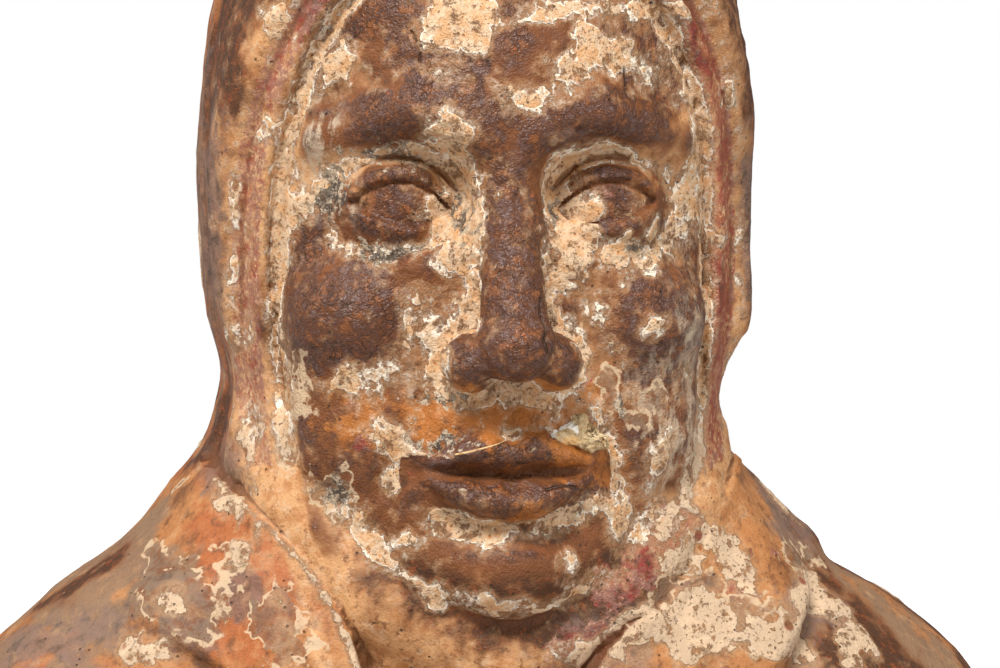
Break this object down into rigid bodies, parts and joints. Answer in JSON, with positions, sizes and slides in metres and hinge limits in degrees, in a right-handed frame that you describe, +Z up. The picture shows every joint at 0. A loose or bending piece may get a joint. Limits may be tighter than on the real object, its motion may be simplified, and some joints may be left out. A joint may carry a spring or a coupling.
{
  "type": "tomb guardian bust",
  "caption": "Fired-clay bust of a hooded tomb guardian figure, with a calm face, cape and scarf, worn paint and burial deposits, cut flat below the shoulders to stand on its underside.",
  "frame": {"origin": "middle of the flat underside, below the centre of the bust's bounding box", "axes": "+Z up, the face looks along -Y, +X towards the figure's own left shoulder, across the shoulders"},
  "size_m": [0.117, 0.0685, 0.11],
  "materials": {
    "fired_clay": "matt low-fired clay, with worn white slip, traces of red paint, dark burial stains and earth"
  },
  "bodies": {
    "root": {"guardian_bust": "fired_clay"}
  },
  "joints": []
}
